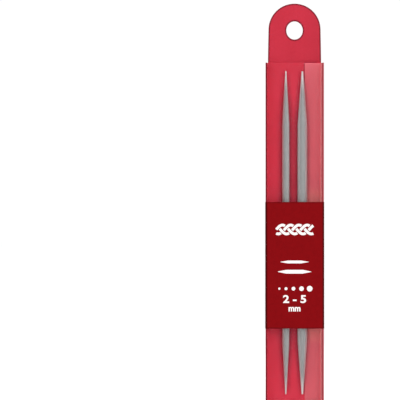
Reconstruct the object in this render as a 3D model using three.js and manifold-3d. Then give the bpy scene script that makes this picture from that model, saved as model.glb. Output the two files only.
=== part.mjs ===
// Cable needle set in its hanging sleeve: two double-pointed aluminium cable
// needles in a flat red tray with a clear window, a paper label band round the
// middle and a hang tab on top.
//
// Units are millimetres and +Z is up. The pack's front looks along -Y, its
// width runs along X and its depth along Y. The origin is on the bottom plane,
// at the middle of the width and of the depth.
//
// A "depth" is measured back (+Y) from the front edges of the tray's walls.

import * as THREE from 'three';
import { mergeVertices } from 'three/addons/utils/BufferGeometryUtils.js';
import Module from 'manifold-3d';

const wasm = await Module();
wasm.setup();

// ---------------------------------------------------------------- dimensions

// Red tray: a sheet folded to a channel, open at the front
const TRAY_WIDTH = 23.86; // over the side walls
const TRAY_DEPTH = 7.0; // to the back face
const TRAY_HEIGHT = 142.6; // bottom edge to mouth
const SHEET = 0.6; // sheet thickness
const FOLD_RADIUS = 1.0; // outside radius of the two long folds
const WALL_EDGE_RADIUS = 0.25; // rounded outer front edge of each wall
const INNER_X = TRAY_WIDTH / 2 - SHEET; // inner face of the right wall
const INNER_BACK = TRAY_DEPTH - SHEET; // depth of the back panel's inner face

// Hang tab: the back panel carried on above the mouth
const TAB_RADIUS = 10.68; // round top
const TAB_CENTRE_ABOVE_MOUTH = 13.69; // centre of the round top
const TAB_OVERLAP = 1.5; // how far the tab's plate runs down into the back panel
// Half width of the tab, height above the mouth
const TAB_FLARE = [
  [10.92, 0.0],
  [10.9, 2.7],
  [10.8, 10.1],
];
const HOLE_HALF_WIDTH = 3.38;
const HOLE_HALF_HEIGHT = 3.73;
const HOLE_ABOVE_MOUTH = 13.36;

// Score line across the back of the tab's root
const CREASE_ABOVE_MOUTH = 0.25;
const CREASE_WIDTH = 0.4;
const CREASE_DEPTH = 0.12;

// How far the cutting solids pass the tray: square to a face, and at their ends
const OVERCUT = 0.1;
const OVERRUN = 1;

// Clear window: one film folded to a C
const FILM = 0.25; // film thickness
const FILM_FRONT = 0.05; // depth of its front face
const FILM_BEND = 0.475; // centreline radius of its folds
const FILM_BOTTOM = 2.4;
const FILM_TOP = 142.5;
const FILM_WALL_GAP = 0.03; // between the right return and the right wall
const LAP_INNER_EDGE = 4.18; // X of the free edge of the lap on the back panel
const RETURN_DEPTH = 5.5; // how far the left return reaches back

// Double-sided tapes that hold the film in the tray
const TAPE = 0.12;
const TAPE_GAP = 0.01; // on each face of a tape
const LAP_TAPE_RIGHT = 10.85;
const RETURN_TAPE_FRONT = 1.1;
const RETURN_TAPE_BACK = 5.3;

// Bottom flap, with its tuck lip
const FLAP_TOP = 2.35;
const FLAP_WIDTH = 22.0;
const FLAP_DEPTH = 5.45; // front edge to back edge
const FLAP_CORNER = 0.8;
const LIP_WIDTH = 20.8;
const LIP_HEIGHT = 2.0; // above the flap's upper face
const LIP_CORNER = 1.2;

// Needles: straight shank, long cone at both ends, small round tips
const NEEDLE_BOTTOM = 6.49;
const NEEDLE_LENGTH = 132.75;
const TAPER_LENGTH = 22.0; // where the cone line meets the shank
const SHOULDER = 1.8; // half length of the soft blend between cone and shank
const CONE_END = TAPER_LENGTH - SHOULDER;
const NEEDLE_FACETS = 48;
const THIN = { name: 'thin_needle', x: -3.63, depth: 4.6, radius: 1.5, tip: 0.27 };
const THICK = { name: 'thick_needle', x: 3.18, depth: 4.1, radius: 2.0, tip: 0.38 };

// Retainer: a foam strip across the needles, behind the label's front
const RETAINER_BOTTOM = 53.0;
const RETAINER_HEIGHT = 14.0;
const RETAINER_LEFT = -10.7;
const RETAINER_RIGHT = 10.8;
const RETAINER_FRONT = 0.36;
const RETAINER_BACK = 5.93;
const NOTCH_CLEARANCE = 0.08;

// Label: a paper band wrapped round the tray, its ends lapped on the back
const PAPER = 0.12;
const PAPER_GAP = 0.01; // between paper and tray
const LABEL_BOTTOM = 33.58;
const LABEL_TOP = 85.47;
const LABEL_START_X = 4.0; // inner end of the band
const LABEL_END_X = -5.0; // outer end of the band
const LABEL_STEP_START = 2; // the band steps out over its inner end between
const LABEL_STEP_END = 1; // these two distances to the right of that end
const LABEL_LAYER_GAP = 0.02;
const LABEL_FRONT_BEND = 0.2; // centreline radius

// Y of depth 0, with the middle of the whole pack's depth on Y = 0
const FRONTMOST = -(PAPER_GAP + PAPER);
const BACKMOST = TRAY_DEPTH + PAPER_GAP + 2 * PAPER + LABEL_LAYER_GAP;
const FRONT_Y = -(FRONTMOST + BACKMOST) / 2;

// ------------------------------------------------------------------ outlines

const HALF_PI = Math.PI / 2;

// Steps along each kind of curve
const BEND_STEPS = 6;
const TAB_STEPS = 64;
const HOLE_STEPS = 56;
const NOTCH_STEPS = 24;

// Points of an arc, or of part of an ellipse when radiusY is given
function arc([x, y], radius, from, to, steps, radiusY = radius) {
  const points = [];
  for (let i = 0; i <= steps; i++) {
    const angle = from + ((to - from) * i) / steps;
    points.push([x + radius * Math.cos(angle), y + radiusY * Math.sin(angle)]);
  }
  return points;
}

const mirrored = (points) => points.map(([x, y]) => [-x, y]);

const vectors = (points) => points.map(([x, y]) => new THREE.Vector2(x, y));

// A line through corners [x, y, radius]; those with a radius must be square
function rounded(corners) {
  return corners.flatMap(([x, y, radius], i) => {
    if (!radius) return [[x, y]];
    const [beforeX, beforeY] = corners[i - 1];
    const [afterX, afterY] = corners[i + 1];
    const back = new THREE.Vector2(beforeX - x, beforeY - y).normalize();
    const ahead = new THREE.Vector2(afterX - x, afterY - y).normalize();
    const centre = [x + radius * (back.x + ahead.x), y + radius * (back.y + ahead.y)];
    const start = Math.atan2(-ahead.y, -ahead.x);
    let sweep = Math.atan2(-back.y, -back.x) - start;
    // Go the short way round
    if (sweep > Math.PI) sweep -= 2 * Math.PI;
    if (sweep < -Math.PI) sweep += 2 * Math.PI;
    return arc(centre, radius, start, start + sweep, BEND_STEPS);
  });
}

// The outline of a sheet folded along a centreline, with mitred joints
function sheetOutline(line, thickness) {
  const left = [];
  const right = [];
  const last = line.length - 1;
  line.forEach(([x, y], i) => {
    const [beforeX, beforeY] = line[Math.max(i - 1, 0)];
    const [afterX, afterY] = line[Math.min(i + 1, last)];
    const arriving = new THREE.Vector2(x - beforeX, y - beforeY).normalize();
    const leaving = new THREE.Vector2(afterX - x, afterY - y).normalize();
    if (i === 0) arriving.copy(leaving);
    if (i === last) leaving.copy(arriving);
    const normal = new THREE.Vector2(
      -(arriving.y + leaving.y),
      arriving.x + leaving.x
    ).normalize();
    const offset = thickness / 2 / Math.sqrt((1 + arriving.dot(leaving)) / 2);
    left.push([x + normal.x * offset, y + normal.y * offset]);
    right.push([x - normal.x * offset, y - normal.y * offset]);
  });
  return [...left, ...right.reverse()];
}

// A rectangle centred on X = 0, its two corners at the far end (y1) rounded
function roundedEnd(width, y0, y1, radius) {
  const half = width / 2;
  const centreY = y1 - radius;
  return [
    [-half, y0],
    [half, y0],
    ...arc([half - radius, centreY], radius, 0, HALF_PI, BEND_STEPS),
    ...arc([-half + radius, centreY], radius, HALF_PI, Math.PI, BEND_STEPS),
  ];
}

// -------------------------------------------------------------------- solids

function extrusion(outline, length, holes = []) {
  const shape = new THREE.Shape(vectors(outline));
  shape.holes = holes.map((hole) => new THREE.Path(vectors(hole)));
  return new THREE.ExtrudeGeometry(shape, { depth: length, bevelEnabled: false });
}

// An upright prism, from an outline in X and depth
function standing(outline, bottom, top) {
  return extrusion(outline, top - bottom).translate(0, FRONT_Y, bottom);
}

// A plate facing front and back, from an outline in X and Z
function plate(outline, front, back, holes) {
  return extrusion(outline, back - front, holes)
    .rotateX(HALF_PI)
    .translate(0, FRONT_Y + back, 0);
}

// A bar lying along X, from an outline in depth and Z
function crossbar(outline, left, right) {
  const axes = new THREE.Matrix4().makeBasis(
    new THREE.Vector3(0, 1, 0),
    new THREE.Vector3(0, 0, 1),
    new THREE.Vector3(1, 0, 0)
  );
  return extrusion(outline, right - left).applyMatrix4(axes).translate(left, FRONT_Y, 0);
}

// A Manifold from an extrusion, with its vertices welded by position alone
function solid(geometry) {
  geometry.deleteAttribute('normal');
  geometry.deleteAttribute('uv');
  const welded = mergeVertices(geometry, 1e-5);
  return new wasm.Manifold(
    new wasm.Mesh({
      numProp: 3,
      vertProperties: new Float32Array(welded.attributes.position.array),
      triVerts: new Uint32Array(welded.index.array),
    })
  );
}

// A flat-shaded geometry from a Manifold
function geometryOf(manifold) {
  const mesh = manifold.getMesh();
  const indexed = new THREE.BufferGeometry();
  indexed.setAttribute('position', new THREE.BufferAttribute(mesh.vertProperties, 3));
  indexed.setIndex(new THREE.BufferAttribute(mesh.triVerts, 1));
  const flat = indexed.toNonIndexed();
  flat.computeVertexNormals();
  return flat;
}

// ----------------------------------------------------------------- materials

const redSheet = new THREE.MeshStandardMaterial({
  color: 0xc73648,
  roughness: 0.42,
  metalness: 0,
});
const clearFilm = new THREE.MeshStandardMaterial({
  color: 0xf4f6f7,
  roughness: 0.12,
  metalness: 0,
  transparent: true,
  opacity: 0.22,
});
const milkyTape = new THREE.MeshStandardMaterial({
  color: 0xd96a74,
  roughness: 0.5,
  metalness: 0,
});
const clearTape = new THREE.MeshStandardMaterial({
  color: 0xd8a9ad,
  roughness: 0.5,
  metalness: 0,
});
const labelPaper = new THREE.MeshStandardMaterial({
  color: 0x870f15,
  roughness: 0.55,
  metalness: 0,
});
const satinAluminium = new THREE.MeshStandardMaterial({
  color: 0xa6a6a6,
  roughness: 0.5,
  metalness: 0.6,
});
const whiteFoam = new THREE.MeshStandardMaterial({
  color: 0xe9e6e0,
  roughness: 0.9,
  metalness: 0,
});

// ------------------------------------------------------------------ red tray

// U of side wall, back panel and side wall, seen from above
function trayChannel() {
  const wallX = TRAY_WIDTH / 2 - SHEET / 2;
  const panelDepth = TRAY_DEPTH - SHEET / 2;
  const bend = FOLD_RADIUS - SHEET / 2;
  const line = rounded([
    [-wallX, 0],
    [-wallX, panelDepth, bend],
    [wallX, panelDepth, bend],
    [wallX, 0],
  ]);
  return solid(standing(sheetOutline(line, SHEET), 0, TRAY_HEIGHT));
}

// What the outer front edges of the two walls lose: the corner outside a
// quarter circle
function wallEdgeCutters() {
  const outerX = TRAY_WIDTH / 2;
  const radius = WALL_EDGE_RADIUS;
  const centreX = outerX - radius;
  const right = [
    [outerX + OVERCUT, -OVERCUT],
    [outerX + OVERCUT, radius],
    ...arc([centreX, radius], radius, 0, -HALF_PI, BEND_STEPS),
    [centreX, -OVERCUT],
  ];
  return [right, mirrored(right)].map((outline) =>
    solid(standing(outline, -OVERRUN, TRAY_HEIGHT + OVERRUN))
  );
}

// Straight, slightly flared sides and a round top, with the hang hole
function hangTab() {
  const side = [
    [TAB_FLARE[0][0], TRAY_HEIGHT - TAB_OVERLAP],
    ...TAB_FLARE.map(([halfWidth, height]) => [halfWidth, TRAY_HEIGHT + height]),
  ];
  const topCentre = [0, TRAY_HEIGHT + TAB_CENTRE_ABOVE_MOUTH];
  const outline = [
    ...side,
    ...arc(topCentre, TAB_RADIUS, 0, Math.PI, TAB_STEPS),
    ...mirrored(side).reverse(),
  ];
  const holeCentre = [0, TRAY_HEIGHT + HOLE_ABOVE_MOUTH];
  const hole = arc(holeCentre, HOLE_HALF_WIDTH, 0, 2 * Math.PI, HOLE_STEPS, HOLE_HALF_HEIGHT);
  hole.pop(); // the last point repeats the first
  return solid(plate(outline, INNER_BACK, TRAY_DEPTH, [hole]));
}

// V groove, carried on past the back face at the same slope
function creaseCutter() {
  const z = TRAY_HEIGHT + CREASE_ABOVE_MOUTH;
  const halfMouth = (CREASE_WIDTH / 2) * (1 + OVERCUT / CREASE_DEPTH);
  const outline = [
    [TRAY_DEPTH - CREASE_DEPTH, z],
    [TRAY_DEPTH + OVERCUT, z - halfMouth],
    [TRAY_DEPTH + OVERCUT, z + halfMouth],
  ];
  const endX = TRAY_WIDTH / 2 + OVERRUN;
  return solid(crossbar(outline, -endX, endX));
}

function redTray() {
  let body = trayChannel();
  for (const cutter of wallEdgeCutters()) body = body.subtract(cutter);
  return geometryOf(body.add(hangTab()).subtract(creaseCutter()));
}

// ----------------------------------------------------- clear window and tapes

// C of rear lap, right return, front window and left return, seen from above
function clearWindow() {
  const lapDepth = INNER_BACK - 2 * TAPE_GAP - TAPE - FILM / 2;
  const rightX = INNER_X - FILM_WALL_GAP - FILM / 2;
  const leftX = -(INNER_X - 2 * TAPE_GAP - TAPE - FILM / 2);
  const frontDepth = FILM_FRONT + FILM / 2;
  const line = rounded([
    [LAP_INNER_EDGE, lapDepth],
    [rightX, lapDepth, FILM_BEND],
    [rightX, frontDepth, FILM_BEND],
    [leftX, frontDepth, FILM_BEND],
    [leftX, RETURN_DEPTH],
  ]);
  return standing(sheetOutline(line, FILM), FILM_BOTTOM, FILM_TOP);
}

// A strip of tape as tall as the film
function tape({ left, right, front, back }) {
  return new THREE.BoxGeometry(right - left, back - front, FILM_TOP - FILM_BOTTOM).translate(
    (left + right) / 2,
    FRONT_Y + (front + back) / 2,
    (FILM_BOTTOM + FILM_TOP) / 2
  );
}

// Between the rear lap and the back panel
function lapTape() {
  const back = INNER_BACK - TAPE_GAP;
  return tape({ left: LAP_INNER_EDGE, right: LAP_TAPE_RIGHT, front: back - TAPE, back });
}

// Between the left return and the left wall
function returnTape() {
  const left = -(INNER_X - TAPE_GAP);
  return tape({
    left,
    right: left + TAPE,
    front: RETURN_TAPE_FRONT,
    back: RETURN_TAPE_BACK,
  });
}

// A level panel with a lip standing along its back edge
function bottomFlap() {
  const back = FILM_FRONT + FLAP_DEPTH;
  const underside = FLAP_TOP - FILM;
  const panel = roundedEnd(FLAP_WIDTH, FILM_FRONT, back, FLAP_CORNER);
  const lip = roundedEnd(LIP_WIDTH, underside, FLAP_TOP + LIP_HEIGHT, LIP_CORNER);
  return geometryOf(
    solid(standing(panel, underside, FLAP_TOP)).add(solid(plate(lip, back - FILM, back)))
  );
}

// -------------------------------------------------------------------- needles

// Stations along one end of a needle, measured from its tip
const TIP_STATIONS = [0, 0.06, 0.2, 0.4, 0.68, 1.0]; // in tip radii
const CONE_STATIONS = [3, 6.5, 10, 13.5, 17, CONE_END];
const SHOULDER_STEPS = 6;

// Radius of a needle at a distance from its tip
function needleRadius(distance, radius, tip) {
  const slope = (radius - tip) / TAPER_LENGTH;
  if (distance < tip) {
    // Round tip, running into the cone
    const round = Math.sqrt(Math.max(0, tip * tip - (tip - distance) ** 2));
    return round * (1 + (slope * distance) / tip);
  }
  if (distance < CONE_END) return tip + slope * distance;
  if (distance < TAPER_LENGTH + SHOULDER) {
    const blend = (distance - CONE_END) / (2 * SHOULDER);
    return radius - slope * SHOULDER * (1 - blend) ** 2;
  }
  return radius;
}

// Turned about Z, standing on its lower tip
function needle({ radius, tip }) {
  const stations = [...TIP_STATIONS.map((station) => tip * station), ...CONE_STATIONS];
  for (let i = 1; i <= SHOULDER_STEPS; i++) {
    stations.push(CONE_END + (i * 2 * SHOULDER) / SHOULDER_STEPS);
  }
  const end = stations.map((station) => [needleRadius(station, radius, tip), station]);
  const profile = [
    ...end,
    [radius, NEEDLE_LENGTH / 3],
    [radius, (2 * NEEDLE_LENGTH) / 3],
    ...end.map(([r, height]) => [r, NEEDLE_LENGTH - height]).reverse(),
  ];
  return new THREE.LatheGeometry(vectors(profile), NEEDLE_FACETS).rotateX(HALF_PI);
}

// ------------------------------------------------------------------- retainer

// A notch round a needle, open to the back, drawn from right to left
function notch({ x, depth, radius }) {
  const notchRadius = radius + NOTCH_CLEARANCE;
  return [
    [x + notchRadius, RETAINER_BACK],
    ...arc([x, depth], notchRadius, 0, -Math.PI, NOTCH_STEPS),
    [x - notchRadius, RETAINER_BACK],
  ];
}

function needleRetainer() {
  const outline = [
    [RETAINER_LEFT, RETAINER_FRONT],
    [RETAINER_RIGHT, RETAINER_FRONT],
    [RETAINER_RIGHT, RETAINER_BACK],
    ...notch(THICK),
    ...notch(THIN),
    [RETAINER_LEFT, RETAINER_BACK],
  ];
  return standing(outline, RETAINER_BOTTOM, RETAINER_BOTTOM + RETAINER_HEIGHT);
}

// ----------------------------------------------------------------- label band

// From the inner end, once round, then out over the inner end
function paperLabel() {
  const offset = PAPER_GAP + PAPER / 2; // tray face to the paper's centreline
  const sideX = TRAY_WIDTH / 2 + offset;
  const back = TRAY_DEPTH + offset;
  const lap = back + PAPER + LABEL_LAYER_GAP;
  const backBend = FOLD_RADIUS + offset;
  const line = rounded([
    [LABEL_START_X, back],
    [-sideX, back, backBend],
    [-sideX, -offset, LABEL_FRONT_BEND],
    [sideX, -offset, LABEL_FRONT_BEND],
    [sideX, back, backBend],
    [LABEL_START_X + LABEL_STEP_START, back],
    [LABEL_START_X + LABEL_STEP_END, lap],
    [LABEL_END_X, lap],
  ]);
  return standing(sheetOutline(line, PAPER), LABEL_BOTTOM, LABEL_TOP);
}

// ------------------------------------------------------------------- assembly

const pack = new THREE.Group();

function part(name, geometry, material, group = pack) {
  const mesh = new THREE.Mesh(geometry, material);
  mesh.name = name;
  group.add(mesh);
}

part('red_tray', redTray(), redSheet);
part('clear_window', clearWindow(), clearFilm);
part('lap_tape', lapTape(), milkyTape);
part('return_tape', returnTape(), clearTape);
part('bottom_flap', bottomFlap(), clearFilm);
for (const spec of [THIN, THICK]) {
  const holder = new THREE.Group();
  holder.position.set(spec.x, FRONT_Y + spec.depth, NEEDLE_BOTTOM);
  pack.add(holder);
  part(spec.name, needle(spec), satinAluminium, holder);
}
part('needle_retainer', needleRetainer(), whiteFoam);
part('paper_label', paperLabel(), labelPaper);

export default pack;
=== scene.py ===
# A slim hanging pack with two double-pointed needles: a folded red sheet with a hang tab,
# a clear film window and bottom flap, a foam retainer, and a printed paper band round it all.
# The pack stands upright along +Z, front towards -Y, its right side (seen from the front)
# towards +X, and its lower end at z = 0. Lengths are in millimetres unless said otherwise.

import math
from functools import cached_property, reduce
from itertools import groupby

import bmesh
import bpy
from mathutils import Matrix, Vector, noise


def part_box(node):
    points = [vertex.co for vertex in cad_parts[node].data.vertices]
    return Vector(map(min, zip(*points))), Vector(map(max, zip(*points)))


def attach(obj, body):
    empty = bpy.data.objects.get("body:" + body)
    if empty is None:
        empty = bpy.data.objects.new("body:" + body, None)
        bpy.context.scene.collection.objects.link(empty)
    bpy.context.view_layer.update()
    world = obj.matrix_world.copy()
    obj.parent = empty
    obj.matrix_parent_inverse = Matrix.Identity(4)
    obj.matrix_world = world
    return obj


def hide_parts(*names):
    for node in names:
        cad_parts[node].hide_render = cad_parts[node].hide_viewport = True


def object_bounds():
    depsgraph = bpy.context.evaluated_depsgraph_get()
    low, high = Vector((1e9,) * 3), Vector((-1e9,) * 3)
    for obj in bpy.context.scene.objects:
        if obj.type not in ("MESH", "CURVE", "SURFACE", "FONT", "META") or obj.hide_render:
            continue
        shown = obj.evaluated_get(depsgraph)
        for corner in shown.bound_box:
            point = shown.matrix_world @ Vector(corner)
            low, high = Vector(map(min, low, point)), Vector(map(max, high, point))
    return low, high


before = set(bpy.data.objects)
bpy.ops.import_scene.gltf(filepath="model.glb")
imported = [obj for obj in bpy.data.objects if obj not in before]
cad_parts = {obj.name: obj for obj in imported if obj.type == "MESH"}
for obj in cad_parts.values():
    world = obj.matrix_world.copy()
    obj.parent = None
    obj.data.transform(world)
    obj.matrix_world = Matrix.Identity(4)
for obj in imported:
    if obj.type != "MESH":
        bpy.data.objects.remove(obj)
CAD_LO, CAD_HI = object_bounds()

MM = 0.001
PI = math.pi


# ---------------------------------------------------------------------------
# Sizes and places
# ---------------------------------------------------------------------------


def box_mm(node):
    low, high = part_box(node)
    return low / MM, high / MM


TRAY_LO, TRAY_HI = box_mm("red_tray")
FILM_LO, FILM_HI = box_mm("clear_window")
LAP_LO, LAP_HI = box_mm("lap_tape")
RET_LO, RET_HI = box_mm("return_tape")
FLAP_LO, FLAP_HI = box_mm("bottom_flap")
THIN_LO, THIN_HI = box_mm("thin_needle")
THICK_LO, THICK_HI = box_mm("thick_needle")
FOAM_LO, FOAM_HI = box_mm("needle_retainer")
LABEL_LO, LABEL_HI = box_mm("paper_label")

# material thicknesses
SHEET = 0.6
FILM = 0.25
PAPER = 0.12
INK_THICKNESS = 0.015

MOUTH = FILM_HI.z + 0.1  # top edge of the tray's walls
Y_FRONT = TRAY_LO.y  # front edges of the walls
Y_BACK = TRAY_HI.y  # back face
WALL = TRAY_HI.x  # outer face of the right wall
LAP_EDGE = LAP_LO.x  # where the film ends on the back panel

# hang tab: a half circle on slightly flared sides, with an oval hole
TAB_RADIUS = 10.68
TAB_FLARE = 0.24
TAB_ROOT = TAB_RADIUS + TAB_FLARE  # half width at the root
TAB_CENTRE_Z = TRAY_HI.z - TAB_RADIUS
HOLE_Z = MOUTH + 13.36
HOLE_HALF_WIDTH, HOLE_HALF_HEIGHT = 3.38, 3.73


# ---------------------------------------------------------------------------
# Geometry helpers
# ---------------------------------------------------------------------------


def rounded_corner(before, corner, after, radius, arc_steps):
    """Points of the arc that rounds a corner."""
    to_before = (before - corner).normalized()
    to_after = (after - corner).normalized()
    half = to_before.angle(to_after) / 2
    centre = corner + (to_before + to_after).normalized() * (radius / math.sin(half))
    first = corner + to_before * (radius / math.tan(half)) - centre
    last = corner + to_after * (radius / math.tan(half)) - centre
    start = math.atan2(first.y, first.x)
    sweep = math.atan2(last.y, last.x) - start
    while sweep > PI:
        sweep -= 2 * PI
    while sweep < -PI:
        sweep += 2 * PI
    angles = [start + sweep * k / arc_steps for k in range(arc_steps + 1)]
    return [centre + Vector((math.cos(a), math.sin(a))) * radius for a in angles]


def polyline(corners, arc_steps=10, step=None):
    """Points along a line whose corners (x, y[, radius]) are rounded."""
    points = []
    for i, corner in enumerate(corners):
        here = Vector(corner[:2])
        radius = corner[2] if len(corner) > 2 else 0
        if radius:
            before, after = Vector(corners[i - 1][:2]), Vector(corners[i + 1][:2])
            points += rounded_corner(before, here, after, radius, arc_steps)
        else:
            points.append(here)
    if step:
        fine = [points[0]]
        for end in points[1:]:
            start = fine[-1]
            parts = max(1, math.ceil((end - start).length / step))
            fine += [start.lerp(end, (j + 1) / parts) for j in range(parts)]
        points = fine
    return points


def spaced(start, end, step):
    """Even values from start to end, no further apart than step."""
    parts = max(1, math.ceil(abs(end - start) / step))
    return [start + (end - start) * i / parts for i in range(parts + 1)]


def grid_faces(row_length, rows, closed=False, first=0):
    """Quads over rows of vertices; closed rows join up end to end."""
    faces = []
    for j in range(rows - 1):
        row = first + j * row_length
        for i in range(row_length if closed else row_length - 1):
            here, after = row + i, row + (i + 1) % row_length
            faces.append((here, after, after + row_length, here + row_length))
    return faces


def sheet_grid(line, levels, place=None):
    """A folded sheet's middle surface: its line seen from above, at each level."""
    verts = [(p.x, p.y, z) for z in levels for p in line]
    if place:
        verts = [place(*v) for v in verts]
    return verts, grid_faces(len(line), len(levels))


def make(name, verts, faces, materials, node, body="sleeve"):
    """A piece from millimetre vertices, riding on its body in place of a CAD node."""
    mesh = bpy.data.meshes.new(name)
    mesh.from_pydata([(x * MM, y * MM, z * MM) for x, y, z in verts], [], faces)
    mesh.validate()
    for material in materials:
        mesh.materials.append(material)
    piece = bpy.data.objects.new(name, mesh)
    bpy.context.scene.collection.objects.link(piece)
    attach(piece, body)
    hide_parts(node)
    return piece


def evaluated_mesh(piece):
    graph = bpy.context.evaluated_depsgraph_get()
    graph.update()
    return bpy.data.meshes.new_from_object(piece.evaluated_get(graph), depsgraph=graph)


def bake(piece, sharp_angle):
    """Applies the modifiers, cleans the mesh, points its faces out and shades it by angle."""
    mesh = evaluated_mesh(piece)
    piece.modifiers.clear()
    old = piece.data
    piece.data = mesh
    bpy.data.meshes.remove(old)
    bm = bmesh.new()
    bm.from_mesh(mesh)
    bmesh.ops.remove_doubles(bm, verts=bm.verts, dist=1e-7)
    bmesh.ops.dissolve_degenerate(bm, edges=bm.edges, dist=1e-7)
    bmesh.ops.recalc_face_normals(bm, faces=bm.faces)
    bm.to_mesh(mesh)
    bm.free()
    mesh.name = piece.name
    mesh.shade_smooth()
    mesh.set_sharp_from_angle(angle=math.radians(sharp_angle))
    normals = piece.modifiers.new("face normals", "WEIGHTED_NORMAL")
    normals.keep_sharp = True
    normals.weight = 90


def solidify(piece, thickness, rim_offset=0, back_offset=0):
    """Gives a middle surface its thickness; the offsets pick other material slots."""
    mod = piece.modifiers.new("thickness", "SOLIDIFY")
    mod.thickness = thickness * MM
    mod.offset = 0
    mod.use_even_offset = True
    mod.use_rim = True
    mod.material_offset_rim = rim_offset
    mod.material_offset = back_offset


def bevel(piece, width, segments, angle):
    mod = piece.modifiers.new("edges", "BEVEL")
    mod.width = width * MM
    mod.segments = segments
    mod.limit_method = "ANGLE"
    mod.angle_limit = math.radians(angle)


# ---------------------------------------------------------------------------
# Node helpers
# ---------------------------------------------------------------------------


class Shading:
    """Short calls that add nodes to the tree of a material or a world."""

    def __init__(self, owner, output="OutputMaterial"):
        self.owner = owner
        owner.use_nodes = True
        self.tree = owner.node_tree
        self.tree.nodes.clear()
        self.output = self.add(output)

    def put(self, socket, value):
        if isinstance(value, bpy.types.NodeSocket):
            self.tree.links.new(value, socket)
        elif socket.type == "RGBA" and len(value) == 3:
            socket.default_value = (*value, 1)
        else:
            socket.default_value = value

    def add(self, kind, inputs=None, **settings):
        node = self.tree.nodes.new("ShaderNode" + kind)
        for key, value in settings.items():
            setattr(node, key, value)
        for key, value in (inputs or {}).items():
            self.put(node.inputs[key], value)
        return node

    def math(self, operation, *values, clamp=False):
        inputs = dict(enumerate(values))
        return self.add("Math", inputs, operation=operation, use_clamp=clamp).outputs[0]

    def times(self, *factors):
        return reduce(lambda a, b: self.math("MULTIPLY", a, b), factors)

    def plus(self, a, b):
        return self.math("ADD", a, b)

    def minus(self, a, b):
        return self.math("SUBTRACT", a, b)

    def size(self, value):
        return self.math("ABSOLUTE", value)

    def length(self, a, b):
        return self.math("POWER", self.plus(self.times(a, a), self.times(b, b)), 0.5)

    def ramp(self, value, start, end, low=0.0, high=1.0, interpolation="SMOOTHSTEP"):
        """From low to high as the value goes from start to end."""
        inputs = {
            "Value": value,
            "From Min": start,
            "From Max": end,
            "To Min": low,
            "To Max": high,
        }
        node = self.add("MapRange", inputs, clamp=True, interpolation_type=interpolation)
        return node.outputs[0]

    def fall(self, value, start, end):
        """From 1 to 0 as the value goes from start to end."""
        return self.ramp(value, start, end, low=1.0, high=0.0)

    def mix(self, base, over, amount):
        return self.add("Mix", {0: amount, 6: base, 7: over}, data_type="RGBA").outputs[2]

    def vary(self, pattern, start, end, first, second):
        """Goes from the first colour to the second as the pattern goes from start to end."""
        return self.mix(first, second, self.ramp(pattern, start, end))

    @cached_property
    def mm(self):
        """Object coordinates in millimetres."""
        place = self.add("TexCoord").outputs["Object"]
        inputs = {0: place, "Scale": 1000.0}
        return self.add("VectorMath", inputs, operation="SCALE").outputs[0]

    @cached_property
    def xyz(self):
        return tuple(self.add("SeparateXYZ", {0: self.mm}).outputs)

    def noise(self, scale, detail, rough, stretch=None):
        place = self.mm
        if stretch:
            inputs = {0: place, 1: stretch}
            place = self.add("VectorMath", inputs, operation="MULTIPLY").outputs[0]
        inputs = {"Vector": place, "Scale": scale, "Detail": detail, "Roughness": rough}
        return self.add("TexNoise", inputs).outputs[0]

    def cells(self, scale):
        """Distance to the nearest of scattered points."""
        return self.add("TexVoronoi", {"Vector": self.mm, "Scale": scale}).outputs["Distance"]

    def facing(self, **inputs):
        """0 where the surface faces the eye, 1 at glancing angles."""
        return self.add("LayerWeight", {"Blend": 0.5, **inputs}).outputs["Facing"]

    def bump(self, height, strength, distance):
        inputs = {"Strength": strength, "Distance": distance * MM, "Height": height}
        return self.add("Bump", inputs).outputs[0]

    def closeness(self, distance):
        """1 where the near surroundings shut the surface in, 0 where it lies open."""
        node = self.add("AmbientOcclusion", {"Distance": distance * MM}, samples=6)
        return self.minus(1.0, node.outputs["AO"])

    def shader(self, kind, **inputs):
        named = {key.replace("_", " "): value for key, value in inputs.items()}
        return self.add(kind, named).outputs[0]

    def mix_shader(self, amount, base, over):
        return self.add("MixShader", {0: amount, 1: base, 2: over}).outputs[0]

    def finish(self, shader):
        self.put(self.output.inputs["Surface"], shader)
        return self.owner


def new_material(name):
    return Shading(bpy.data.materials.new(name))


def srgb(red, green, blue):
    """Linear colour from 8-bit sRGB."""

    def linear(value):
        value /= 255.0
        return value / 12.92 if value <= 0.04045 else ((value + 0.055) / 1.055) ** 2.4

    return (linear(red), linear(green), linear(blue), 1.0)


# ---------------------------------------------------------------------------
# Materials
# ---------------------------------------------------------------------------

WHITE = (1, 1, 1, 1)

# what little light there is beside the needles, on the red sheet and on the milky tape
DUSK = (0.022, 0.02, 0.038)
DUSK_MILKY = (0.035, 0.06, 0.062)

# the dusk starts between these distances from the middle (x) ...
DUSK_X = (8.0, 9.5)
# ... and between these heights
DUSK_Z = (FLAP_HI.z + 1.0, FLAP_HI.z + 3.0)


def near_label(mat):
    """1 at the paper band's upper and lower edges, fading to 0 in 8 mm."""
    z = mat.xyz[2]
    middle = (LABEL_LO.z + LABEL_HI.z) / 2
    half = (LABEL_HI.z - LABEL_LO.z) / 2
    away = mat.size(mat.minus(mat.size(mat.minus(z, middle)), half))
    return mat.fall(away, 0.5, 8.0)


def cut_sheet_colour(mat):
    """Streaky cut edge of the red sheet, with painted shade on the left and painted light on
    the right.
    """
    noise_value = mat.noise(scale=3.0, detail=3, rough=0.6, stretch=(1, 1, 0.2))
    streak = mat.ramp(noise_value, 0.3, 0.7, high=0.5)
    shaded_cut = mat.mix(srgb(108, 14, 28), srgb(134, 26, 42), amount=streak)
    lit_cut = mat.mix(srgb(160, 62, 70), srgb(174, 74, 82), amount=streak)
    return mat.vary(mat.xyz[0], -1.0, 1.0, shaded_cut, lit_cut)


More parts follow.
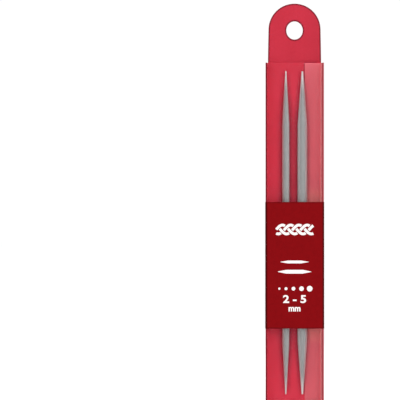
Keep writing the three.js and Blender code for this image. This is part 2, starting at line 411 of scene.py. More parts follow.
def tab_edge_shade(mat):
    """1 along the tab's outline and round its hole, where painted shade darkens the face."""
    x, y, z = mat.xyz
    above = mat.ramp(z, MOUTH + 0.3, MOUTH + 0.6)
    up = mat.math("MAXIMUM", mat.minus(z, TAB_CENTRE_Z), 0.0)
    inside_arc = mat.minus(TAB_RADIUS, mat.length(x, up))
    flare = mat.ramp(z, MOUTH, TAB_CENTRE_Z, TAB_FLARE, 0.0, interpolation="LINEAR")
    inside = mat.plus(inside_arc, flare)
    hole_x = mat.math("DIVIDE", x, HOLE_HALF_WIDTH)
    hole_z = mat.math("DIVIDE", mat.minus(z, HOLE_Z), HOLE_HALF_HEIGHT)
    off_hole = mat.times(mat.minus(mat.length(hole_x, hole_z), 1.0), HOLE_HALF_WIDTH)
    distance = mat.math("MINIMUM", inside, mat.size(off_hole))
    return mat.times(mat.fall(distance, 0.3, 0.8), above)


def red_face_colour(mat, fine, lines):
    """The red sheet's faces, with its tab, folds and front edges."""
    x, y, z = mat.xyz
    side = mat.size(x)
    cloud = mat.noise(scale=0.09, detail=3, rough=0.55)
    colour = mat.vary(cloud, 0.35, 0.65, srgb(193, 44, 64), srgb(188, 41, 60))

    # inside the channel the light goes back and forth and the red reads fuller
    inner = mat.times(
        mat.fall(z, MOUTH + 0.1, MOUTH + 0.3),
        mat.fall(side, WALL - 0.5, WALL - 0.3),
        mat.fall(y, Y_BACK - 0.5, Y_BACK - 0.3),
        mat.ramp(z, MOUTH - 16, MOUTH, low=1.0, high=0.35),
    )
    full = mat.vary(cloud, 0.35, 0.65, srgb(219, 54, 77), srgb(213, 51, 73))
    # painted light near the paper band's upper and lower edges
    full = mat.mix(full, srgb(228, 60, 83), amount=near_label(mat))
    colour = mat.mix(colour, full, amount=inner)

    # matt grain and extrusion lines
    grain = mat.ramp(fine, 0.3, 0.75, high=0.2)
    colour = mat.mix(colour, srgb(212, 58, 76), amount=grain)
    drawn = mat.ramp(lines, 0.35, 0.7, high=0.14)
    colour = mat.mix(colour, srgb(184, 38, 54), amount=drawn)

    # the tab darkens towards the right
    shade = mat.times(mat.ramp(x, 1.0, 9.0, high=0.45), mat.ramp(z, MOUTH + 0.3, MOUTH + 1.0))
    colour = mat.mix(colour, srgb(180, 40, 57), amount=shade)
    # painted shade along the tab's outline and round its hole
    colour = mat.mix(colour, srgb(112, 18, 34), amount=mat.times(tab_edge_shade(mat), 0.88))

    # painted shade along the score line across the tab's root, stronger to the right and in the
    # back valley
    score_shade = mat.times(
        mat.ramp(z, MOUTH + 0.35, MOUTH + 0.6), mat.fall(z, MOUTH + 0.7, MOUTH + 1.3)
    )
    on_back = mat.ramp(y, Y_BACK - 0.3, Y_BACK - 0.2)
    across = mat.ramp(x, -8.0, 9.0, low=0.05, high=0.4)
    shade_strength = mat.math("MAXIMUM", across, mat.times(on_back, 0.3))
    colour = mat.mix(colour, srgb(140, 26, 42), amount=mat.times(score_shade, shade_strength))

    # stress whitening on the two long folds
    patchy = mat.noise(scale=0.8, detail=3, rough=0.6, stretch=(1, 1, 0.25))
    fold = mat.times(
        mat.ramp(side, WALL - 1.1, WALL - 0.35),
        mat.ramp(y, Y_BACK - 1.0, Y_BACK - 0.3),
        mat.ramp(patchy, 0.25, 0.8, low=0.15, high=0.55),
    )
    colour = mat.mix(colour, srgb(224, 98, 110), amount=fold)

    # the walls' front edges, in the cut edge's colour with its painted shade and light
    lip = mat.times(
        mat.fall(y, Y_FRONT + 0.5, Y_FRONT + 0.9), mat.fall(z, MOUTH - 0.02, MOUTH + 0.02)
    )
    return mat.mix(colour, cut_sheet_colour(mat), amount=lip)


def red_sheet_material(name, rim=False):
    """Satin extruded polypropylene: fine matt grain, faint extrusion lines and clouding."""
    mat = new_material(name)
    x, y, z = mat.xyz
    fine = mat.noise(scale=1.1, detail=4, rough=0.6)
    lines = mat.noise(scale=1.0, detail=2, rough=0.5, stretch=(5.5, 5.5, 0.035))
    if rim:
        cut = cut_sheet_colour(mat)
        colour = mat.vary(y, Y_BACK - 1.2, Y_BACK - 0.7, cut, srgb(128, 22, 38))
    else:
        colour = red_face_colour(mat, fine, lines)

    # the needles all but touch the back panel: little light gets in beside them
    shut = mat.times(
        mat.fall(y, Y_BACK - 0.5, Y_BACK - 0.3),
        mat.fall(mat.size(x), *DUSK_X),
        mat.ramp(z, *DUSK_Z),
        mat.closeness(2.6),
    )
    thin_x = (THIN_LO.x + THIN_HI.x) / 2
    lean = mat.times(
        mat.ramp(x, thin_x - 0.3, thin_x + 1.0, low=0.72, high=1.1),
        mat.ramp(x, thin_x + 2.6, thin_x + 4.2, low=1.0, high=0.84),
    )
    colour = mat.mix(colour, DUSK, amount=mat.math("MULTIPLY", shut, lean, clamp=True))

    grain = mat.noise(scale=16.0, detail=2, rough=0.6)
    height = mat.plus(mat.times(grain, 0.6), mat.times(lines, 0.5))
    return mat.finish(mat.shader(
        "BsdfPrincipled",
        Base_Color=colour,
        Roughness=mat.ramp(fine, 0.25, 0.8, low=0.4, high=0.52),
        Specular_IOR_Level=0.1,
        Subsurface_Weight=0.1,
        Subsurface_Radius=(1.0, 0.22, 0.16),
        Subsurface_Scale=0.0005,
        Normal=mat.bump(height, strength=0.22, distance=0.02),
    ))


def milky_colour(mat):
    """Pale red of the milky tape over the red sheet."""
    x, y, z = mat.xyz
    cloud = mat.noise(scale=0.16, detail=3, rough=0.6)
    colour = mat.vary(cloud, 0.3, 0.7, srgb(218, 100, 111), srgb(212, 97, 108))
    # unwetted flecks and laying streaks
    flecks = mat.ramp(mat.cells(1.7), 0.05, 0.16, low=0.25, high=0.0)
    colour = mat.mix(colour, srgb(196, 72, 86), amount=flecks)
    lines = mat.noise(scale=1.0, detail=2, rough=0.5, stretch=(2.6, 2.6, 0.03))
    colour = mat.mix(colour, srgb(228, 110, 120), amount=mat.ramp(lines, 0.4, 0.75, high=0.2))
    # painted highlight along the cut top edge
    top = mat.ramp(z, MOUTH - 0.5, MOUTH - 0.3, high=0.9)
    colour = mat.mix(colour, srgb(244, 116, 130), amount=top)
    # fuller in the light of the right wall's corner
    corner = mat.ramp(x, 6.0, 11.3, high=0.55)
    colour = mat.mix(colour, srgb(236, 114, 124), amount=corner)
    # light leaks in under the paper band
    leak = mat.times(near_label(mat), 0.9)
    colour = mat.mix(colour, srgb(240, 130, 130), amount=leak)
    # on the left wall the same tape is pressed flat and hardly shows
    return mat.mix(colour, srgb(214, 54, 74), amount=mat.fall(x, -2.0, -1.0))


def cut_film_veil(mat, edge):
    """Haze of the cut edges, less along the crease and the bottom of the window."""
    x, y, z = mat.xyz
    uneven = mat.noise(scale=2.0, detail=2, rough=0.5)
    veil = mat.ramp(uneven, 0.3, 0.7, low=edge, high=edge * 1.6)
    bottom = mat.times(
        mat.fall(y, FILM_LO.y + 0.3, FILM_LO.y + 0.5),
        mat.fall(z, FILM_LO.z + 0.2, FILM_LO.z + 0.3),
    )
    left = mat.fall(x, FILM_LO.x + 0.3, FILM_LO.x + 0.4)
    plain = mat.math("MAXIMUM", bottom, left)
    plain = mat.times(plain, mat.fall(z, MOUTH - 1.0, MOUTH - 0.8))
    return mat.times(veil, mat.minus(1.0, mat.times(plain, 0.85)))


def film_shine(mat, normal):
    """Share of mirror reflection."""
    facing = mat.facing(Normal=normal)
    shine = mat.plus(mat.times(mat.math("POWER", facing, 4.0), 0.42), 0.0015)
    # seen at a slant the film mirrors the room; upright bands of painted reflection vary how
    # strongly
    upright = mat.noise(scale=1.0, detail=2, rough=0.5, stretch=(0.22, 0.22, 0.012))
    painted_reflection_bands = mat.ramp(upright, 0.38, 0.62, low=0.25, high=1.0)
    slant = mat.times(mat.ramp(facing, 0.12, 0.45, high=0.026), painted_reflection_bands)
    shine = mat.plus(shine, slant)
    # next to none on the left wall
    return mat.times(shine, mat.ramp(mat.xyz[0], FILM_LO.x + 0.3, FILM_LO.x + 0.6, low=0.03))


def film_material(name, edge=0.0, flap=False):
    """Clear polyester film: see-through, with a thin gloss that grows at glancing angles,
    faint haze, rub marks and a slow ripple. edge is the haze of a cut edge."""
    mat = new_material(name)
    x, y, z = mat.xyz
    ripple = mat.noise(scale=0.11, detail=2, rough=0.5)
    scuff = mat.noise(scale=1.0, detail=3, rough=0.6, stretch=(1.6, 1.6, 0.16))
    height = mat.plus(ripple, mat.times(scuff, 0.05))
    normal = mat.bump(height, strength=0.25, distance=0.3)

    # the flap's panel is handled and creased, so a touch less clear than its lip
    tint = WHITE
    if flap:
        panel = mat.fall(y, FLAP_HI.y - 0.5, FLAP_HI.y - 0.3)
        tint = mat.mix((0.985, 0.985, 0.985), (0.93, 0.945, 0.95), amount=panel)
    if edge:
        veil = cut_film_veil(mat, edge)
    else:
        veil = mat.ramp(scuff, 0.64, 0.85, high=0.012)
        if flap:
            worn = mat.ramp(scuff, 0.3, 0.7, low=0.05, high=0.11)
            veil = mat.plus(veil, mat.times(panel, worn))
    on_front = (FILM_LO.y + 0.5, FILM_LO.y + 0.7)
    crease = mat.times(
        mat.ramp(x, FILM_HI.x - 0.6, FILM_HI.x - 0.45), mat.fall(y, *on_front)
    )
    crease = mat.times(crease, mat.ramp(ripple, 0.3, 0.7, low=0.04, high=0.07))
    haze_colour = (0.6, 0.63, 0.65, 1) if edge else (0.95, 0.9, 0.9, 1)
    body = mat.mix_shader(
        mat.plus(veil, crease),
        mat.shader("BsdfTransparent", Color=tint),
        mat.shader("BsdfDiffuse", Color=haze_colour),
    )

    # the crease carries the light of the milky strip round the corner
    glow = mat.times(
        mat.ramp(x, FILM_HI.x - 0.98, FILM_HI.x - 0.45, high=0.24),
        mat.fall(x, FILM_HI.x - 0.4, FILM_HI.x - 0.2),
        mat.fall(y, FILM_LO.y + 0.3, FILM_LO.y + 0.5),
    )
    rosy = mat.shader("BsdfDiffuse", Color=(0.95, 0.25, 0.26, 1))
    body = mat.mix_shader(glow, body, rosy)

    # bonded lap: the film loses its back surface to the tape, so the milky tape shows
    lap = mat.times(
        mat.ramp(y, FILM_HI.y - 0.75, FILM_HI.y - 0.6),
        mat.ramp(x, LAP_EDGE - 0.5, LAP_EDGE - 0.4),
    )
    beside = mat.times(mat.ramp(x, *DUSK_X, low=0.85, high=0.0), mat.ramp(z, *DUSK_Z))
    shut = mat.times(mat.closeness(2.0), beside)
    milky = mat.mix(milky_colour(mat), DUSK_MILKY, amount=shut)
    body = mat.mix_shader(lap, body, mat.shader("BsdfDiffuse", Color=milky))

    gloss = mat.shader("BsdfGlossy", Color=WHITE, Roughness=0.06, Normal=normal)
    return mat.finish(mat.mix_shader(film_shine(mat, normal), body, gloss))


def tape_material(name):
    """Milky double-sided tape on the red sheet."""
    mat = new_material(name)
    cloud = mat.noise(scale=0.16, detail=3, rough=0.6)
    height = mat.noise(scale=3.0, detail=3, rough=0.6)
    return mat.finish(mat.shader(
        "BsdfPrincipled",
        Base_Color=milky_colour(mat),
        Roughness=mat.ramp(cloud, 0.3, 0.7, low=0.4, high=0.55),
        Specular_IOR_Level=0.08,
        Normal=mat.bump(height, strength=0.12, distance=0.03),
    ))


def aluminium_material(name):
    """Pearl-grey anodised aluminium: satin, finely grained, with faint polishing rings."""
    mat = new_material(name)
    cloud = mat.noise(scale=0.35, detail=3, rough=0.6)
    grain = mat.noise(scale=22.0, detail=3, rough=0.65)
    rings = mat.noise(scale=1.0, detail=3, rough=0.6, stretch=(0.25, 0.25, 9.0))
    along = mat.noise(scale=1.0, detail=2, rough=0.5, stretch=(4.0, 4.0, 0.12))
    colour = mat.vary(cloud, 0.3, 0.7, srgb(149, 149, 149), srgb(143, 144, 144))
    # painted sheen: paler towards the silhouette
    silhouette_sheen = mat.ramp(mat.facing(), 0.03, 0.38, high=0.84)
    colour = mat.mix(colour, srgb(226, 226, 226), amount=silhouette_sheen)
    # grain, brighter flecks, rings
    colour = mat.mix(colour, srgb(142, 142, 143), amount=mat.ramp(grain, 0.3, 0.7, high=0.25))
    flecks = mat.ramp(mat.cells(5.5), 0.08, 0.22, low=0.22, high=0.0)
    colour = mat.mix(colour, srgb(184, 184, 182), amount=flecks)
    colour = mat.mix(colour, srgb(134, 134, 135), amount=mat.ramp(rings, 0.45, 0.75, high=0.18))
    # worn lighter at the points
    middle = (THICK_LO.z + THICK_HI.z) / 2
    half = (THICK_HI.z - THICK_LO.z) / 2
    tip = mat.ramp(mat.size(mat.minus(mat.xyz[2], middle)), half - 9.0, half - 0.5)
    patchy = mat.noise(scale=2.2, detail=3, rough=0.6)
    worn = mat.times(tip, mat.ramp(patchy, 0.3, 0.7, low=0.45, high=0.9))
    colour = mat.mix(colour, srgb(226, 222, 220), amount=worn)

    satin = mat.ramp(along, 0.3, 0.7, low=0.42, high=0.52)
    height = mat.plus(mat.times(grain, 0.5), mat.times(rings, 0.5))
    return mat.finish(mat.shader(
        "BsdfPrincipled",
        Base_Color=colour,
        Metallic=0.6,
        Roughness=mat.plus(satin, mat.times(tip, -0.08)),
        Specular_IOR_Level=0.25,
        Normal=mat.bump(height, strength=0.16, distance=0.012),
    ))


def fibre_noise(mat):
    return mat.noise(scale=1.0, detail=4, rough=0.65, stretch=(9.0, 9.0, 3.5))


def printed_colour(mat, mottle, fibre):
    """Dark red ink on the label, with painted shade on the front folds, darker edges and worn
    back folds.
    """
    x, y, z = mat.xyz
    side = mat.size(x)
    dots = mat.noise(scale=11.0, detail=2, rough=0.5)
    colour = mat.vary(mottle, 0.3, 0.7, srgb(129, 7, 13), srgb(123, 6, 12))
    colour = mat.mix(colour, srgb(138, 12, 18), amount=mat.ramp(dots, 0.35, 0.7, high=0.25))
    colour = mat.mix(colour, srgb(112, 6, 10), amount=mat.ramp(fibre, 0.5, 0.8, high=0.2))
    # painted shade on the two front folds, the right one less so
    fold = mat.times(
        mat.ramp(side, WALL - 0.85, WALL - 0.4),
        mat.fall(y, Y_FRONT + 0.3, Y_FRONT + 0.9),
        mat.ramp(x, -1, 1, low=0.92, high=0.75),
    )
    colour = mat.mix(colour, srgb(62, 3, 5), amount=fold)
    # upper and lower edges
    inside = mat.math("MINIMUM", mat.minus(z, LABEL_LO.z), mat.minus(LABEL_HI.z, z))
    margin = mat.ramp(inside, 0.3, 0.75, low=0.45, high=0.0)
    colour = mat.mix(colour, srgb(88, 4, 7), amount=margin)
    # worn back folds
    patchy = mat.noise(scale=2.4, detail=4, rough=0.7)
    wear = mat.times(
        mat.ramp(side, WALL - 0.5, WALL),
        mat.ramp(y, Y_BACK - 0.7, Y_BACK),
        mat.ramp(patchy, 0.5, 0.62),
        0.6,
    )
    return mat.mix(colour, srgb(196, 120, 118), amount=wear)


def paper_material(name, surface):
    """Coated label paper; the surface is "printed", "cut" or "bare"."""
    mat = new_material(name)
    mottle = mat.noise(scale=0.5, detail=4, rough=0.6)
    fibre = fibre_noise(mat)
    if surface == "printed":
        colour = printed_colour(mat, mottle, fibre)
    elif surface == "cut":
        colour = mat.vary(fibre, 0.3, 0.7, srgb(205, 170, 166), srgb(168, 92, 90))
    else:
        colour = mat.vary(fibre, 0.3, 0.7, srgb(240, 238, 234), srgb(228, 225, 220))
    height = mat.plus(mat.times(fibre, 0.7), mat.times(mottle, 0.6))
    return mat.finish(mat.shader(
        "BsdfPrincipled",
        Base_Color=colour,
        Roughness=mat.ramp(fibre, 0.3, 0.7, low=0.5, high=0.62),
        Specular_IOR_Level=0.03,
        Normal=mat.bump(height, strength=0.14, distance=0.03),
    ))


def ink_material(name):
    """Off-white ink with faint dots of the red below."""
    mat = new_material(name)
    dots = mat.ramp(mat.noise(scale=9.0, detail=2, rough=0.5), 0.3, 0.72, high=0.35)
    return mat.finish(mat.shader(
        "BsdfPrincipled",
        Base_Color=mat.mix((0.93, 0.92, 0.91), srgb(226, 200, 198), amount=dots),
        Roughness=0.55,
        Specular_IOR_Level=0.15,
        Normal=mat.bump(fibre_noise(mat), strength=0.15, distance=0.02),
    ))


def foam_material(name):
    """Closed-cell foam: packed cells with thin walls."""
    mat = new_material(name)
    cell = mat.cells(2.6)
    small = mat.cells(6.5)
    shade = mat.noise(scale=0.6, detail=3, rough=0.6)
    colour = mat.vary(cell, 0.1, 0.7, (0.80, 0.79, 0.76), (0.60, 0.59, 0.56))
    colour = mat.mix(colour, (0.86, 0.84, 0.80), amount=mat.ramp(shade, 0.3, 0.7, high=0.3))
    height = mat.plus(mat.times(cell, -0.8), mat.times(small, -0.35))
    return mat.finish(mat.shader(
        "BsdfPrincipled",
        Base_Color=colour,
        Roughness=0.92,
        Specular_IOR_Level=0.15,
        Subsurface_Weight=0.2,
        Subsurface_Radius=(1, 1, 1),
        Subsurface_Scale=0.0006,
        Normal=mat.bump(height, strength=0.55, distance=0.12),
    ))


# each list holds the slots of a piece: face, then cut edge, then the unprinted side
RED_SLOTS = [
    red_sheet_material("red_polypropylene"),
    red_sheet_material("red_polypropylene_cut_edge", rim=True),
]
FILM_SLOTS = [film_material("clear_film"), film_material("clear_film_cut_edge", edge=0.2)]
FLAP_SLOTS = [
    film_material("clear_flap_film", flap=True),
    film_material("clear_flap_film_cut_edge", edge=0.45, flap=True),
]
TAPE = tape_material("milky_tape")
ALUMINIUM = aluminium_material("pearl_grey_aluminium")
PAPER_SLOTS = [
    paper_material("label_paper", "printed"),
    paper_material("label_paper_cut_edge", "cut"),
    paper_material("label_paper_unprinted", "bare"),
]
INK = ink_material("label_ink")
FOAM = foam_material("white_foam")


# ---------------------------------------------------------------------------
# Red tray: one folded sheet with the hang tab
# ---------------------------------------------------------------------------

# places across the tab's root
TAB_X = [-TAB_ROOT, -7.3, -3.65, 0.0, 3.65, 7.3, TAB_ROOT]
# scored root: (height above the mouth, push along y), a valley on the back, a ridge in front
SCORE = [(0.12, 0.0), (0.25, -0.05), (0.38, 0.0)]
TAB_SIDE_HEIGHTS = (3, 6, 10)  # above the mouth
TAB_ARC_STEPS, HOLE_STEPS = 44, 28  # per half


def tab_half_width(z):
    rise = (z - MOUTH) / (TAB_CENTRE_Z - MOUTH)
    return TAB_ROOT - TAB_FLARE * max(0.0, rise) ** 1.2


def add_score(verts, faces, row, mid_y):
    """Grows the scored strip from a row of vertices, and returns its upper row."""
    for height, push in SCORE:
        z = MOUTH + height
        start = len(verts)
        verts += [(x * tab_half_width(z) / TAB_ROOT, mid_y + push, z) for x in TAB_X]
        upper = list(range(start, len(verts)))
        faces += zip(row, row[1:], upper[1:], upper)
        row = upper
    return row


def add_tab(verts, faces, row, mid_y):
    """The tab as a left and a right face that meet on the middle line."""

    def add(x, z):
        verts.append((x, mid_y, z))
        return len(verts) - 1

    left_side, right_side = [
        [add(side * tab_half_width(MOUTH + h), MOUTH + h) for h in TAB_SIDE_HEIGHTS]
        for side in (-1, 1)
    ]
    angles = [PI / 2 * k / TAB_ARC_STEPS for k in range(TAB_ARC_STEPS)]
    left_arc, right_arc = [
        [
            add(side * TAB_RADIUS * math.cos(a), TAB_CENTRE_Z + TAB_RADIUS * math.sin(a))
            for a in angles
        ]
        for side in (-1, 1)
    ]
    crown = add(0, TAB_CENTRE_Z + TAB_RADIUS)
    hole_bottom = add(0, HOLE_Z - HOLE_HALF_HEIGHT)
    hole_top = add(0, HOLE_Z + HOLE_HALF_HEIGHT)
    angles = [PI * k / HOLE_STEPS for k in range(1, HOLE_STEPS)]
    left_hole, right_hole = [
        [
            add(side * HOLE_HALF_WIDTH * math.sin(a), HOLE_Z - HOLE_HALF_HEIGHT * math.cos(a))
            for a in angles
        ]
        for side in (-1, 1)
    ]
    left_inner = [hole_bottom] + left_hole + [hole_top, crown]
    right_inner = [crown, hole_top] + right_hole[::-1] + [hole_bottom]
    middle = len(row) // 2
    faces.append(tuple(row[: middle + 1] + left_inner + left_arc[::-1] + left_side[::-1]))
    faces.append(tuple(row[middle:] + right_side + right_arc + right_inner))


def build_tray():
    mid_x = WALL - SHEET / 2
    mid_y = Y_BACK - SHEET / 2
    fold = 0.7  # radius
    corners = [(-mid_x, Y_FRONT), (-mid_x, mid_y, fold), (mid_x, mid_y, fold), (mid_x, Y_FRONT)]
    line = polyline(corners, arc_steps=8)
    # split the flat back at the tab's root
    flat = [i for i, p in enumerate(line) if abs(p.y - mid_y) < 1e-6]
    line = line[: flat[0] + 1] + [Vector((x, mid_y)) for x in TAB_X] + line[flat[-1]:]
    levels = spaced(0, MOUTH, 11.6)
    verts, faces = sheet_grid(line, levels)
    top_row = (len(levels) - 1) * len(line)
    root = [
        top_row + i
        for i, p in enumerate(line)
        if abs(p.y - mid_y) < 1e-6 and abs(p.x) < TAB_ROOT + 0.005
    ]
    row = add_score(verts, faces, root, mid_y)
    add_tab(verts, faces, row, mid_y)
    tray = make("tray_sheet", verts, faces, RED_SLOTS, "red_tray")
    bm = bmesh.new()
    bm.from_mesh(tray.data)
    bmesh.ops.recalc_face_normals(bm, faces=bm.faces)
    bm.to_mesh(tray.data)
    bm.free()
    solidify(tray, SHEET, rim_offset=1)
    bevel(tray, width=0.12, segments=3, angle=55)
    bake(tray, sharp_angle=28)


build_tray()


# ---------------------------------------------------------------------------
# Clear window film and the two tape strips that hold it
# ---------------------------------------------------------------------------


def build_film():
    """From the lap on the back panel, up the right wall, across the front, and a short
    return along the left wall."""
    lap_y = FILM_HI.y - FILM / 2
    right_x = FILM_HI.x - FILM / 2
    left_x = FILM_LO.x + FILM / 2
    front_y = FILM_LO.y + FILM / 2
    return_y = Y_FRONT + 5.5
    fold = 0.475  # radius
    corners = [
        (LAP_EDGE, lap_y),
        (right_x, lap_y, fold),
        (right_x, front_y, fold),
        (left_x, front_y, fold),
        (left_x, return_y),
    ]
    line = polyline(corners, arc_steps=8, step=1.4)

    def ripple(x, y, z):
        """The front panel has a slow ripple that dies away at its edges."""
        if y < front_y + 0.01:
            across = max(0.0, 1 - (abs(x) / (right_x - 0.4)) ** 4)
            along = min(1.0, (z - FILM_LO.z) / 6, (FILM_HI.z - z) / 6)
            wave = noise.noise(Vector((x * 0.11, 3.1, z * 0.045)))
            y += 0.035 * across * along * wave
        return (x, y, z)

    verts, faces = sheet_grid(line, spaced(FILM_LO.z, FILM_HI.z, 3.2), ripple)
    film = make("window_film", verts, faces, FILM_SLOTS, "clear_window")
    solidify(film, FILM, rim_offset=1)
    bake(film, sharp_angle=40)


def build_tape(name, low, high, node, axis):
    """A thin upright strip, its width along the axis, whose free edges wander slightly."""
    rows, columns = 46, 6
    trim = 0.1  # mean inset of a free edge
    verts = []
    for j in range(rows + 1):
        z = low.z + (high.z - low.z) * j / rows
        for k in range(columns + 1):
            share = k / columns
            wander = 0.10 * noise.noise(Vector((7.7 * (share > 0.5), 1.3, z * 0.06)))
            inset = abs(2 * share - 1) ** 3 * (trim + wander)
            if axis == "x":
                x = low.x + (high.x - low.x) * share
                if share > 0.5:
                    x -= inset
                verts.append((x, (low.y + high.y) / 2, z))
            else:
                y = low.y + (high.y - low.y) * share
                y += inset if share < 0.5 else -inset
                verts.append(((low.x + high.x) / 2, y, z))
    faces = grid_faces(columns + 1, rows + 1)
    tape = make(name, verts, faces, [TAPE], node)
    solidify(tape, (high.y - low.y) if axis == "x" else (high.x - low.x))
    bake(tape, sharp_angle=40)


build_film()
build_tape("lap_strip", LAP_LO, LAP_HI, "lap_tape", axis="x")
build_tape("return_strip", RET_LO, RET_HI, "return_tape", axis="y")


# ---------------------------------------------------------------------------
# Bottom flap of the film, creased at its front edge, with a tuck lip
# ---------------------------------------------------------------------------

LIP_HEIGHT = 2.0
LIP_INSET = 0.6  # the lip is narrower than the panel by this on each side
FLAP_CORNER = 1.2  # size of the corners of the panel and the lip


def flap_half_width(y, z):
    half = FLAP_HI.x
    corner_y = FLAP_HI.y - FLAP_CORNER
    corner_z = FLAP_HI.z - FLAP_CORNER
    if y > corner_y:
        half = FLAP_HI.x - LIP_INSET * min(1.0, (y - corner_y) / 0.9)
    if z > corner_z:
        share = min(1.0, (z - corner_z) / FLAP_CORNER)
        rounding = FLAP_CORNER * (1 - math.sqrt(max(0.0, 1 - share * share)))
        half = FLAP_HI.x - LIP_INSET - rounding
    return half


def build_flap():
    panel_z = FLAP_HI.z - LIP_HEIGHT - FILM / 2
    lip_y = FLAP_HI.y - FILM / 2
    corners = [(FLAP_LO.y, panel_z), (lip_y, panel_z, 0.3), (lip_y, FLAP_HI.z)]
    profile = polyline(corners, arc_steps=6, step=0.45)  # (y, z)
    columns = 16
    verts = []
    for y, z in profile:
        half = flap_half_width(y, z)
        verts += [((2 * c / columns - 1) * half, y, z) for c in range(columns + 1)]
    faces = grid_faces(columns + 1, len(profile))
    flap = make("flap_film", verts, faces, FLAP_SLOTS, "bottom_flap", body="flap")
    solidify(flap, FILM, rim_offset=1)
    bake(flap, sharp_angle=40)


build_flap()


# ---------------------------------------------------------------------------
# Needles
# ---------------------------------------------------------------------------

TAPER = 22.0  # length of a point
SHOULDER = 1.8  # half length of the blend from the point to the shaft


def needle_radius(along, radius, tip):
    slope = (radius - tip) / TAPER
    if along < tip:
        cap = math.sqrt(max(0.0, tip * tip - (tip - along) ** 2))
        return cap * (1 + slope * along / tip)
    if along < TAPER - SHOULDER:
        return tip + slope * along
    if along < TAPER + SHOULDER:
        share = (along - (TAPER - SHOULDER)) / (2 * SHOULDER)
        return radius - slope * SHOULDER * (1 - share) ** 2
    return radius


def build_needle(name, low, high, tip, node):
    radius = (high.x - low.x) / 2
    centre_x, centre_y = (low.x + high.x) / 2, (low.y + high.y) / 2
    length = high.z - low.z
    stations = [tip * (1 - math.cos(PI / 2 * k / 9)) for k in range(1, 10)]
    stations += spaced(tip, TAPER - SHOULDER, 0.9)[1:]
    stations += spaced(TAPER - SHOULDER, TAPER + SHOULDER, 0.3)[1:]
    point = [(needle_radius(s, radius, tip), s) for s in stations]
    shaft_end = TAPER + SHOULDER
    profile = point + [(radius, s) for s in spaced(shaft_end, length - shaft_end, 4.0)[1:-1]]
    profile += [(r, length - s) for r, s in reversed(point)]

    around = 96
    verts = [(centre_x, centre_y, low.z)]
    for ring_radius, along in profile:
        for k in range(around):
            angle = 2 * PI * k / around
            x = centre_x + ring_radius * math.cos(angle)
            y = centre_y + ring_radius * math.sin(angle)
            verts.append((x, y, low.z + along))
    verts.append((centre_x, centre_y, high.z))
    end = len(verts) - 1
    last_ring = end - around
    faces = [(0, 1 + (k + 1) % around, 1 + k) for k in range(around)]
    faces += grid_faces(around, len(profile), closed=True, first=1)
    faces += [(last_ring + k, last_ring + (k + 1) % around, end) for k in range(around)]
    needle = make(name, verts, faces, [ALUMINIUM], node, body=node)
    needle.data.shade_smooth()


build_needle("needle_thin", THIN_LO, THIN_HI, 0.27, "thin_needle")
build_needle("needle_thick", THICK_LO, THICK_HI, 0.38, "thick_needle")


# ---------------------------------------------------------------------------
# Foam retainer behind the label
# ---------------------------------------------------------------------------


def notch(low, high):
    """Outline of a U-shaped notch for a needle, open to the back."""
    radius = (high.x - low.x) / 2 + 0.08
    centre_x, centre_y = (low.x + high.x) / 2, (low.y + high.y) / 2
    angles = [-PI * k / 28 for k in range(29)]
    arc = [(centre_x + radius * math.cos(a), centre_y + radius * math.sin(a)) for a in angles]
    return [(centre_x + radius, FOAM_HI.y), *arc, (centre_x - radius, FOAM_HI.y)]


def build_foam():
    outline = [(FOAM_LO.x, FOAM_LO.y), (FOAM_HI.x, FOAM_LO.y), (FOAM_HI.x, FOAM_HI.y)]
    outline += notch(THICK_LO, THICK_HI) + notch(THIN_LO, THIN_HI)
    outline.append((FOAM_LO.x, FOAM_HI.y))
    outline = [Vector(point) for point in outline]
    count = len(outline)
    levels = spaced(FOAM_LO.z, FOAM_HI.z, 1.0)
    verts = [(p.x, p.y, z) for z in levels for p in outline]
    faces = grid_faces(count, len(levels), closed=True)
    faces.append(tuple(reversed(range(count))))
    faces.append(tuple(range(len(verts) - count, len(verts))))
    foam = make("foam_retainer", verts, faces, [FOAM], "needle_retainer")
    bevel(foam, width=0.16, segments=3, angle=60)
    bake(foam, sharp_angle=35)


build_foam()


# ---------------------------------------------------------------------------
# Paper label band and its print
# ---------------------------------------------------------------------------


def build_label():
    side_x = LABEL_HI.x - PAPER / 2
    front_y = LABEL_LO.y + PAPER / 2
    back_y = Y_BACK + 0.01 + PAPER / 2
    overlap_y = LABEL_HI.y - PAPER / 2  # the outer end, lying on the inner one
    corners = [
        (4.0, back_y),
        (-side_x, back_y, 1.07),
        (-side_x, front_y, 0.2),
        (side_x, front_y, 0.2),
        (side_x, back_y, 1.07),
        (6.0, back_y, 1.5),
        (5.0, overlap_y, 1.5),
        (-5.0, overlap_y),
    ]
    line = polyline(corners, arc_steps=9)
    verts, faces = sheet_grid(line, spaced(LABEL_LO.z, LABEL_HI.z, 5.2))
    label = make("label_band", verts, faces, PAPER_SLOTS, "paper_label")
    solidify(label, PAPER, rim_offset=1, back_offset=2)
    bake(label, sharp_angle=30)
    # the printed side is the outer one: swap the two if the frontmost face is bare
    faces = label.data.polygons
    front = min((f for f in faces if abs(f.normal.y) > 0.9), key=lambda f: f.center.y)
    if front.material_index == 2:
        for face in faces:
            if face.material_index != 1:
                face.material_index = 2 - face.material_index


build_label()


def add_face(bm, verts):
    # guards against a face that is already there or that uses a vertex twice
    try:
        bm.faces.new(verts)
    except ValueError:
        pass


